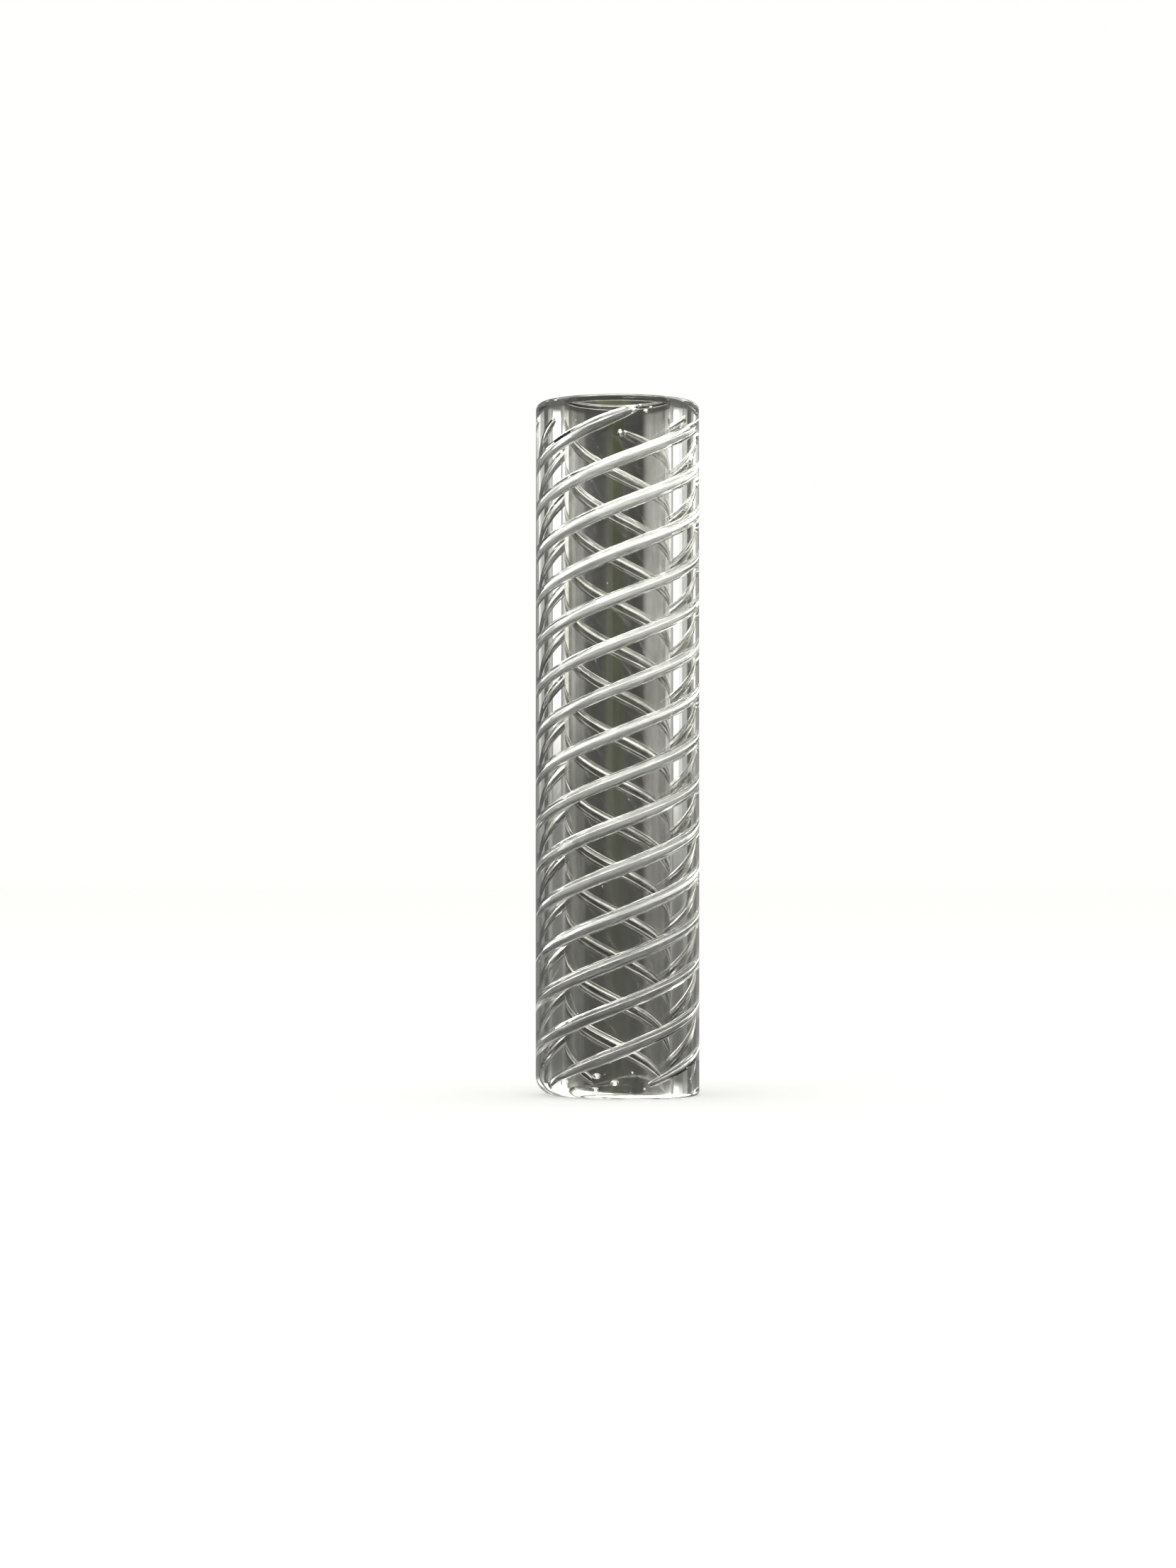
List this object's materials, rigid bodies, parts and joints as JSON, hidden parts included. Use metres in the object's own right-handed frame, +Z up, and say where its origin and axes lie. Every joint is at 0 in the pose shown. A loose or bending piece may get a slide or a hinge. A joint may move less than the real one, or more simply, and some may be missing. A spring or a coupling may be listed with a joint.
{
  "type": "spiral air-twist glass pen barrel tube",
  "caption": "Short open-ended thick-walled glass tube with spiral hollow threads in its wall, as used for a glass dip pen's barrel or grip.",
  "frame": {"origin": "centre of the tube's lower end face", "axes": "+Z up along the tube's axis; the twist is right-handed about +Z"},
  "size_m": [0.01, 0.01, 0.0423],
  "materials": {
    "smoke_glass_inner": "clear smoke-grey glass, fire polished",
    "smoke_glass_outer": "clear smoke-grey glass, fire polished, with rounded rims",
    "thread_glass": "thin clear-to-milky glass skin round a hollow thread, reads silvery white"
  },
  "bodies": {
    "root": {"inner_tube": "smoke_glass_inner", "outer_casing": "smoke_glass_outer", "twist_thread_1": "thread_glass", "twist_thread_2": "thread_glass", "twist_thread_3": "thread_glass", "twist_thread_4": "thread_glass"}
  },
  "joints": []
}
